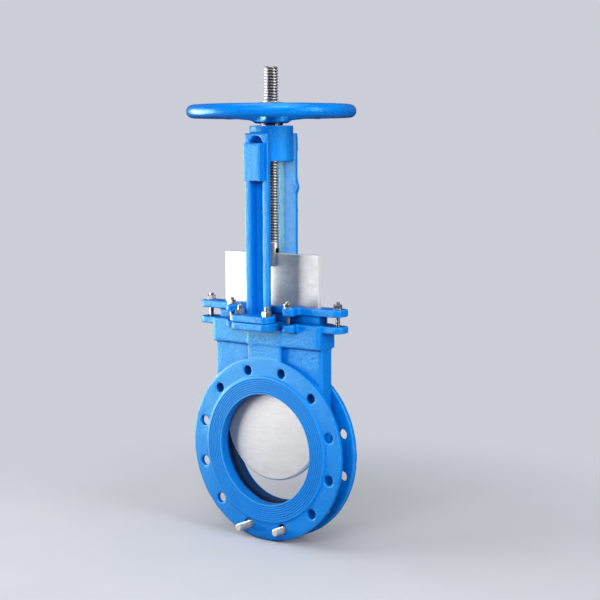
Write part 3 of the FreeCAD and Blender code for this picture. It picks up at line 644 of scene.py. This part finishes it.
# ---------------------------------------------------------------- gate blade
def gate_blade():
    lo, hi = mm("knife_gate")
    hw, ht, top = 126.0, 6.0, hi[2]
    cz = 54.0
    n = 128
    pts, nor, off = [], [], []
    def corner(cx, czz, a0, a1, r=1.0, m=4):
        for i in range(m + 1):
            a = a0 + (a1 - a0) * i / m
            pts.append((cx + r * math.cos(a), czz + r * math.sin(a)))
            nor.append((math.cos(a), math.sin(a)))
            off.append(0.7)
    corner(hw - 1, top - 1, 0, math.pi / 2)
    corner(-hw + 1, top - 1, math.pi / 2, math.pi)
    for i in range(n + 1):
        a = math.pi + math.pi * i / n
        pts.append((hw * math.cos(a), cz + hw * math.sin(a)))
        nor.append((math.cos(a), math.sin(a)))
        g = min(1.0, math.sin(math.pi * i / n) * 6)
        off.append(0.7 + 3.3 * g)
    pts, nor, off = np.array(pts), np.array(nor), np.array(off)[:, None]
    layers = [(-ht, off), (-ht + off[:, 0], 0 * off), (ht - 0.7, 0 * off), (ht, 0 * off + 0.7)]
    co = []
    for y, o in layers:
        p = pts - nor * o
        co.append(np.stack([p[:, 0], np.broadcast_to(y, (len(p),)), p[:, 1]], -1))
    m = len(pts)
    i = np.arange(m)
    quads = np.concatenate([np.stack([i + L * m, (i + 1) % m + L * m, (i + 1) % m + (L + 1) * m, i + (L + 1) * m], -1)
                            for L in range(3)])
    bm = bmesh.new()
    vs = [bm.verts.new(v * MM) for v in np.concatenate(co)]
    for qd in quads:
        bm.faces.new([vs[j] for j in qd])
    bm.faces.new([vs[j] for j in i[::-1]])
    bm.faces.new([vs[j + 3 * m] for j in i])
    bmesh.ops.recalc_face_normals(bm, faces=bm.faces)
    me = bpy.data.meshes.new("knife_gate_blade")
    bm.to_mesh(me)
    bm.free()
    ob = bpy.data.objects.new("knife_gate_blade", me)
    scene.collection.objects.link(ob)
    me.polygons.foreach_set("use_smooth", np.ones(len(me.polygons), bool))
    me.set_sharp_from_angle(angle=math.radians(20))
    return ob


gate = gate_blade()


# ---------------------------------------------------------------- materials
class Nodes:
    def __init__(self, name):
        self.mat = bpy.data.materials.new(name)
        self.mat.use_nodes = True
        self.nt = self.mat.node_tree
        self.nt.nodes.clear()
        self.out = self.new("ShaderNodeOutputMaterial")
        self.bsdf = self.new("ShaderNodeBsdfPrincipled")
        self.link(self.bsdf.outputs[0], self.out.inputs[0])
        self.co = self.new("ShaderNodeTexCoord").outputs["Object"]

    def new(self, kind, **kw):
        n = self.nt.nodes.new(kind)
        for k, v in kw.items():
            setattr(n, k, v)
        return n

    def link(self, a, b):
        self.nt.links.new(a, b)

    def set(self, name, v):
        s = self.bsdf.inputs[name]
        if isinstance(v, bpy.types.NodeSocket):
            self.link(v, s)
        else:
            s.default_value = v

    def noise(self, scale, detail=3.0, rough=0.55, co=None, stretch=None, distort=0.0):
        n = self.new("ShaderNodeTexNoise")
        n.inputs["Scale"].default_value = scale
        n.inputs["Detail"].default_value = detail
        n.inputs["Roughness"].default_value = rough
        n.inputs["Distortion"].default_value = distort
        src = co or self.co
        if stretch:
            mp = self.new("ShaderNodeMapping")
            mp.inputs["Scale"].default_value = stretch
            self.link(src, mp.inputs["Vector"])
            src = mp.outputs[0]
        self.link(src, n.inputs["Vector"])
        return n.outputs["Fac"]

    def ramp(self, fac, stops):
        r = self.new("ShaderNodeValToRGB")
        e = r.color_ramp.elements
        while len(e) < len(stops):
            e.new(0.5)
        for k, (p, c) in zip(e, stops):
            k.position = p
            k.color = c if len(c) == 4 else (*c, 1.0)
        self.link(fac, r.inputs[0])
        return r.outputs[0]

    def span(self, fac, a, b, c=0.0, d=1.0, smooth=False):
        m = self.new("ShaderNodeMapRange")
        if smooth:
            m.interpolation_type = "SMOOTHSTEP"
        for k, v in zip(("From Min", "From Max", "To Min", "To Max"), (a, b, c, d)):
            m.inputs[k].default_value = v
        self.link(fac, m.inputs["Value"])
        return m.outputs["Result"]

    def math(self, op, a, b=0.0):
        m = self.new("ShaderNodeMath", operation=op)
        for s, v in zip(m.inputs, (a, b)):
            if isinstance(v, bpy.types.NodeSocket):
                self.link(v, s)
            else:
                s.default_value = v
        return m.outputs[0]

    def mix(self, fac, a, b, mode="MIX"):
        m = self.new("ShaderNodeMix", data_type="RGBA", blend_type=mode)
        for s, v in ((m.inputs[0], fac), (m.inputs[6], a), (m.inputs[7], b)):
            if isinstance(v, bpy.types.NodeSocket):
                self.link(v, s)
            else:
                s.default_value = v if not isinstance(v, tuple) or len(v) == 4 else (*v, 1.0)
        return m.outputs[2]

    def bump(self, height, strength, distance, normal=None):
        b = self.new("ShaderNodeBump")
        if isinstance(strength, bpy.types.NodeSocket):
            self.link(strength, b.inputs["Strength"])
        else:
            b.inputs["Strength"].default_value = strength
        b.inputs["Distance"].default_value = distance
        self.link(height, b.inputs["Height"])
        if normal is not None:
            self.link(normal, b.inputs["Normal"])
        return b.outputs[0]

    def edges(self, a, b):
        g = self.new("ShaderNodeNewGeometry")
        return self.span(g.outputs["Pointiness"], a, b)


def paint(name, grain=1.0, rough=(0.30, 0.42), bore=False, reach=0.012, inner=False,
          gloss=0.62):
    """Blue enamel brushed over sand-cast iron."""
    n = Nodes(name)
    cloud = n.noise(14, 4, 0.6)
    fine = n.noise(420, 3, 0.6)
    base = n.ramp(cloud, [(0.30, (0.0, 0.178, 0.73)), (0.70, (0.0, 0.228, 0.82))])
    base = n.mix(n.span(fine, 0.38, 0.62, 0.0, 0.34), base, (0.0, 0.30, 0.92))
    pit = n.noise(230, 2, 0.5)
    base = n.mix(n.span(pit, 0.54, 0.68, 0.0, 0.45), base, (0.0, 0.095, 0.50))
    # painted highlight: convex edges found by pointiness are lightened to a paler blue
    edge_highlight = n.edges(0.512, 0.56)
    base = n.mix(n.math("MULTIPLY", edge_highlight, 0.45), base, (0.06, 0.42, 0.92))
    # painted shade: concave creases found by pointiness are darkened to deep blue
    crease_shade = n.edges(0.490, 0.43)
    base = n.mix(n.math("MULTIPLY", crease_shade, 0.75), base, (0.0, 0.055, 0.38))
    # painted shade: darker in corners, recesses and gaps, by ambient occlusion within reach
    ao = n.new("ShaderNodeAmbientOcclusion", samples=12)
    ao.inputs["Distance"].default_value = reach
    shade = n.span(ao.outputs["AO"], 0.28, 0.86, 0.85, 0.0, True)
    base = n.mix(shade, base, (0.0, 0.030, 0.22))
    if inner:
        # painted light: a mottled, lighter grey-blue sheen on the faces that look at the stem
        geo = n.new("ShaderNodeNewGeometry")
        pos, face = n.new("ShaderNodeSeparateXYZ"), n.new("ShaderNodeSeparateXYZ")
        n.link(n.co, pos.inputs[0])
        n.link(geo.outputs["Normal"], face.inputs[0])
        toward = n.math("MULTIPLY", n.math("MULTIPLY", face.outputs[1], n.math("SIGN", pos.outputs[1])), -1.0)
        f = n.math("MULTIPLY", n.span(toward, 0.35, 0.58), n.span(n.math("ABSOLUTE", pos.outputs[1]), 0.046, 0.043))
        f = n.math("MULTIPLY", f, n.span(n.noise(90, 4, 0.7), 0.30, 0.62, 0.35, 0.80))
        base = n.mix(f, base, (0.17, 0.38, 0.66))
    if bore:
        # painted shade: the bore wall behind the gate is darkened to deep navy, fading out towards the flange face
        sep = n.new("ShaderNodeSeparateXYZ")
        n.link(n.co, sep.inputs[0])
        rad = n.math("SQRT", n.math("ADD", n.math("MULTIPLY", sep.outputs[0], sep.outputs[0]),
                                    n.math("MULTIPLY", sep.outputs[2], sep.outputs[2])))
        inner = n.math("MULTIPLY", n.span(rad, 0.1232, 0.1222), n.span(sep.outputs[1], 0.0052, 0.0062))
        edge_y = n.span(sep.outputs[1], 0.0300, 0.0325, 1.0, 0.0)
        base = n.mix(n.math("MULTIPLY", n.math("MULTIPLY", inner, edge_y), 0.88), base, (0.0, 0.022, 0.16))
        skin_left = n.span(rad, 0.2005, 0.2030, 0.40, 1.0)
    n.set("Base Color", base)
    n.set("Roughness", n.span(n.noise(34, 4, 0.6), 0.3, 0.7, rough[0], rough[1]))
    n.set("Specular IOR Level", n.span(ao.outputs["AO"], 0.35, 0.95, 0.12, gloss))
    n.set("Specular Tint", (0.32, 1.0, 0.25, 1.0))
    skin = n.noise(460, 4, 0.62)
    lumps = n.noise(200, 3, 0.5)
    nm = n.bump(lumps, n.math("MULTIPLY", skin_left, 0.85) if bore else 0.75 * grain, 0.0013)
    nm = n.bump(skin, 1.0 * grain, 0.0006, nm)
    n.set("Normal", nm)
    return n.mat


def steel(name, color, rough, aniso=0.0, grain=(1, 1, 1), streak=260, bump=0.05, crease_shade_amount=0.0, spread=0.08, cloud=0.0,
          metal=1.0, root_shade=None, mottle=0.0, above=None, slot=None,
          gate_rim_highlight=False):
    """Bare or plated steel with machining streaks."""
    n = Nodes(name)
    lines = n.noise(streak, 3, 0.6, stretch=grain)
    soft = n.noise(22, 4, 0.6)
    c = n.mix(n.span(lines, 0.3, 0.7), tuple(x * (1 - spread) for x in color), tuple(min(1, x * (1 + spread)) for x in color))
    if cloud:
        c = n.mix(n.span(soft, 0.35, 0.7, 0.0, cloud), c, tuple(x * 0.62 for x in color))
    # painted shade: darker in concave creases found by pointiness
    if crease_shade_amount:
        c = n.mix(n.math("MULTIPLY", n.edges(0.49, 0.42), crease_shade_amount), c, (0.05, 0.045, 0.04))
    if mottle:
        m = n.span(n.noise(70, 5, 0.65), 0.42, 0.66, 0.0, mottle)
        if above is not None:
            hgt = n.new("ShaderNodeSeparateXYZ")
            n.link(n.co, hgt.inputs[0])
            m = n.math("MULTIPLY", m, n.span(hgt.outputs[2], above, above + 0.06, 0.25, 1.0))
        c = n.mix(m, c, tuple(x * 0.55 for x in color))
    if root_shade:
        # painted shade: the thread is darker where it is cut deepest, by distance from the axis
        sep = n.new("ShaderNodeSeparateXYZ")
        n.link(n.co, sep.inputs[0])
        rad = n.math("SQRT", n.math("ADD", n.math("MULTIPLY", sep.outputs[0], sep.outputs[0]),
                                    n.math("MULTIPLY", sep.outputs[1], sep.outputs[1])))
        g = n.math("MULTIPLY", n.span(rad, root_shade[1], root_shade[0]), n.span(sep.outputs[2], root_shade[2], root_shade[2] + 0.002))
        c = n.mix(n.math("MULTIPLY", g, 0.82), c, (0.07, 0.068, 0.075))
    if slot:
        # painted shade: the walls of the fork's slot are painted near black
        slot_wall_shade = n.math("MULTIPLY", n.span(n.math("ABSOLUTE", sep.outputs[1]), slot[0], slot[0] - 0.0001),
                    n.span(sep.outputs[2], slot[1] + 0.0002, slot[1]))
        c = n.mix(n.math("MULTIPLY", slot_wall_shade, 0.97), c, (0.004, 0.004, 0.008))
    n.set("Base Color", c)
    if gate_rim_highlight:
        # painted highlight: the blade's rim is lighter and duller than the faces
        geo, face = n.new("ShaderNodeNewGeometry"), n.new("ShaderNodeSeparateXYZ")
        n.link(geo.outputs["Normal"], face.inputs[0])
        rim = n.span(n.math("ABSOLUTE", face.outputs[1]), 0.97, 0.88)
        c = n.mix(rim, c, (0.82, 0.82, 0.83))
        n.set("Base Color", c)
        metal = n.span(rim, 0.0, 1.0, metal, 0.30)
    n.set("Metallic", metal)
    r = n.math("ADD", n.span(lines, 0.3, 0.7, -0.05, 0.05), n.span(soft, 0.3, 0.7, rough - 0.05, rough + 0.06))
    n.set("Roughness", r)
    n.set("Anisotropic", aniso)
    n.set("Normal", n.bump(lines, bump, 0.0004))
    return n.mat


def dull(name, color, rough, scale=180, weave=False, bump=0.3):
    n = Nodes(name)
    a = n.noise(scale, 3, 0.6)
    c = n.mix(n.span(a, 0.35, 0.65), tuple(x * 0.85 for x in color), tuple(min(1, x * 1.12) for x in color))
    n.set("Base Color", c)
    n.set("Roughness", n.span(a, 0.3, 0.7, rough - 0.06, rough + 0.06))
    h = a
    if weave:
        w = n.new("ShaderNodeTexWave", wave_type="BANDS", bands_direction="DIAGONAL")
        w.inputs["Scale"].default_value = 260
        w.inputs["Distortion"].default_value = 2.0
        n.link(n.co, w.inputs["Vector"])
        h = w.outputs["Fac"]
    n.set("Normal", n.bump(h, bump, 0.0006))
    return n.mat


cast = paint("blue_enamel_cast", 1.0, reach=0.030)
yoke_paint = paint("blue_enamel_yoke", 1.0, inner=True)
body_paint = paint("blue_enamel_body", 1.0, bore=True, reach=0.030)
turned_paint = paint("blue_enamel_turned", 0.30, (0.34, 0.44), reach=0.005, gloss=0.42)
wheel_paint = paint("blue_enamel_wheel", 0.12, (0.22, 0.30))
gate_mat = steel("gate_ground_steel", (0.52, 0.515, 0.52), 0.48, 0.0, (0.15, 1, 1.6), 240, 0.10, cloud=0.10, metal=0.80, mottle=0.40,
                 above=0.22, gate_rim_highlight=True)
stem_mat = steel("stem_turned_steel", (0.74, 0.73, 0.74), 0.38, 0.0, (1, 1, 6), 300, 0.08, crease_shade_amount=0.5,
                 root_shade=(0.0122, 0.0143, 0.4475), slot=(0.00625, 0.4345))
zinc = steel("zinc_plated_steel", (0.66, 0.67, 0.68), 0.28, 0.0, (1, 1, 1), 380, 0.12, crease_shade_amount=0.7, cloud=0.25)
rod_mat = steel("threaded_rod_zinc", (0.86, 0.86, 0.85), 0.40, 0.0, (1, 1, 1), 300, 0.2, crease_shade_amount=0.5, cloud=0.2, metal=0.8, mottle=0.45)
dark = steel("oiled_machined_steel", (0.10, 0.11, 0.16), 0.38, 0.0, (1, 1, 5), 300, 0.06)
bronze = steel("machined_bronze", (0.72, 0.50, 0.24), 0.27, 0.0, (1, 1, 4), 300, 0.06, crease_shade_amount=0.4)
packing = dull("braided_packing", (0.62, 0.60, 0.54), 0.8, 240, True, 0.6)
rubber = dull("dark_rubber", (0.008, 0.014, 0.045), 0.6, 300)
plastic = dull("slide_strip_plastic", (0.80, 0.78, 0.71), 0.45, 160)


def dress(ob, mat):
    ob.data.materials.clear()
    ob.data.materials.append(mat)


def place(ob, node, body, mat):
    dress(ob, mat)
    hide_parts(node)
    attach(ob, body)


ROOT, LIFT, TURN = "body_and_yoke", "stem_and_gate", "handwheel"
place(body, "valve_body", ROOT, body_paint)
place(face_front, "valve_body", ROOT, turned_paint)
place(face_back, "valve_body", ROOT, turned_paint)
place(gland, "packing_gland", ROOT, cast)
place(yoke, "yoke", ROOT, yoke_paint)
place(gland_studs, "gland_studs", ROOT, zinc)
place(gland_nuts, "gland_nuts", ROOT, zinc)
place(washers, "gland_washers", ROOT, zinc)
place(yoke_studs, "yoke_studs", ROOT, zinc)
place(yoke_nuts, "yoke_nuts", ROOT, zinc)
place(rods, "flange_rods", ROOT, rod_mat)
place(gate, "knife_gate", LIFT, gate_mat)
place(stem, "stem", LIFT, stem_mat)
place(wheel, "handwheel", TURN, wheel_paint)
place(wheel_nut, "handwheel_nut", TURN, zinc)
for node, mat in (("seat_ring", rubber), ("gate_guides", plastic), ("gate_scraper", bronze), ("packing_ring_1", packing),
                  ("packing_ring_2", packing), ("packing_ring_3", packing), ("packing_ring_4", packing),
                  ("thrust_washer_lower", bronze), ("thrust_washer_upper", bronze), ("bearing_cap", dark),
                  ("cap_locking_screw", dark), ("stem_gate_pins", stem_mat), ("handwheel_key", stem_mat),
                  ("handwheel_collar", dark), ("stem_nut", bronze)):
    dress(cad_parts[node], mat)

# ---------------------------------------------------------------- stage
FLOOR_Z = cad_lo.z - 0.0005
seg = 96
rings = np.array([0.0, 0.5, 1.0, 2.0, 4.0, 8.0, 16.0])
t = np.arange(seg) * TAU / seg
co = np.stack([rings[1:, None] * np.cos(t), rings[1:, None] * np.sin(t), np.full((6, seg), FLOOR_Z)], -1).reshape(-1, 3)
co = np.concatenate([co, [[0, 0, FLOOR_Z]]])
i = np.arange(seg)
quads = np.concatenate([np.stack([k * seg + i, (k + 1) * seg + i, (k + 1) * seg + (i + 1) % seg, k * seg + (i + 1) % seg], -1) for k in range(5)])
tri = np.stack([np.full(seg, 6 * seg), i, (i + 1) % seg], -1)
floor = fill_mesh("studio_floor", co, [quads, tri])
floor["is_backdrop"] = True
PALE = (0.60, 0.62, 0.68)
n = Nodes("studio_floor")
n.set("Base Color", n.mix(n.span(n.noise(3, 2), 0.3, 0.7), (0.62, 0.63, 0.66), (0.66, 0.67, 0.70)))
n.set("Roughness", 0.7)
n.set("Specular IOR Level", 0.2)
em = n.new("ShaderNodeEmission")
em.inputs[0].default_value = (*PALE, 1)
em.inputs[1].default_value = 1.0
mx = n.new("ShaderNodeMixShader")
ln = n.new("ShaderNodeVectorMath", operation="LENGTH")
n.link(n.co, ln.inputs[0])
n.link(n.span(ln.outputs["Value"], 0.32, 1.2, smooth=True), mx.inputs[0])
n.link(n.bsdf.outputs[0], mx.inputs[1])
n.link(em.outputs[0], mx.inputs[2])
dim = n.new("ShaderNodeBsdfDiffuse")
dim.inputs[0].default_value = (0.16, 0.17, 0.20, 1)
seen = n.new("ShaderNodeLightPath")
pick = n.new("ShaderNodeMixShader")
n.link(seen.outputs["Is Camera Ray"], pick.inputs[0])
n.link(dim.outputs[0], pick.inputs[1])
n.link(mx.outputs[0], pick.inputs[2])
n.link(pick.outputs[0], n.out.inputs[0])
dress(floor, n.mat)

world = bpy.data.worlds.new("Studio")
scene.world = world
world.use_nodes = True
wt = world.node_tree
wt.nodes.clear()
out = wt.nodes.new("ShaderNodeOutputWorld")
bg_seen = wt.nodes.new("ShaderNodeBackground")
bg_seen.inputs[0].default_value = (*PALE, 1)
bg_seen.inputs[1].default_value = 1.0
bg_light = wt.nodes.new("ShaderNodeBackground")
bg_light.inputs[0].default_value = (0.80, 0.87, 1.0, 1)
bg_light.inputs[1].default_value = 0.15
path = wt.nodes.new("ShaderNodeLightPath")
mixw = wt.nodes.new("ShaderNodeMixShader")
wt.links.new(path.outputs["Is Camera Ray"], mixw.inputs[0])
wt.links.new(bg_light.outputs[0], mixw.inputs[1])
wt.links.new(bg_seen.outputs[0], mixw.inputs[2])
wt.links.new(mixw.outputs[0], out.inputs[0])


def softbox(name, at, to, size, power, color=(1, 1, 1)):
    ld = bpy.data.lights.new(name, "AREA")
    ld.shape = "RECTANGLE"
    ld.size, ld.size_y = size
    ld.energy = power
    ld.color = color
    ob = bpy.data.objects.new(name, ld)
    scene.collection.objects.link(ob)
    ob.location = at
    d = Vector(to) - Vector(at)
    ob.rotation_mode = "QUATERNION"
    ob.rotation_quaternion = d.to_track_quat("-Z", "Y")
    return ob


def around(az_deg, el_deg, r, z=0.35):
    a, e = math.radians(az_deg), math.radians(el_deg)
    return r * math.sin(a) * math.cos(e), -r * math.cos(a) * math.cos(e), z + r * math.sin(e)


def only(ob, kind):
    """Studio lamp seen by one kind of ray: a card for gloss, or a fill without its reflection."""
    ob.visible_diffuse = kind == "diffuse"
    ob.visible_glossy = kind == "glossy"
    return ob


softbox("left", around(-70, 3, 2.2), (0, 0, 0.30), (2.3, 1.7), 50)
only(softbox("left_card", around(-64, 8, 1.45, 0.12), (0, 0, 0.30), (1.25, 0.95), 30), "glossy")
only(softbox("low_left", (-1.40, -0.55, -0.12), (0, 0, 0.72), (0.8, 0.35), 3), "glossy")
only(softbox("right_card", around(98, 12, 2.2), (0, 0, 0.35), (0.6, 1.8), 18), "glossy")
only(softbox("right", around(80, 10, 2.2), (0, 0, 0.38), (0.9, 1.8), 30), "diffuse")
only(softbox("front_high", around(52, 43, 2.6, 0.6), (0, 0, 0.35), (1.4, 0.7), 34), "glossy")
only(softbox("front_fill", around(22, 22, 2.6, 0.3), (0, 0, 0.30), (1.8, 1.3), 46), "diffuse")
softbox("top", (0.0, -0.1, 2.6), (0, 0, 0.3), (1.6, 1.6), 18)

scene.view_settings.view_transform = "Standard"
scene.view_settings.look = "None"
scene.view_settings.exposure = 0.0
scene.view_settings.gamma = 1.0

lo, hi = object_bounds()
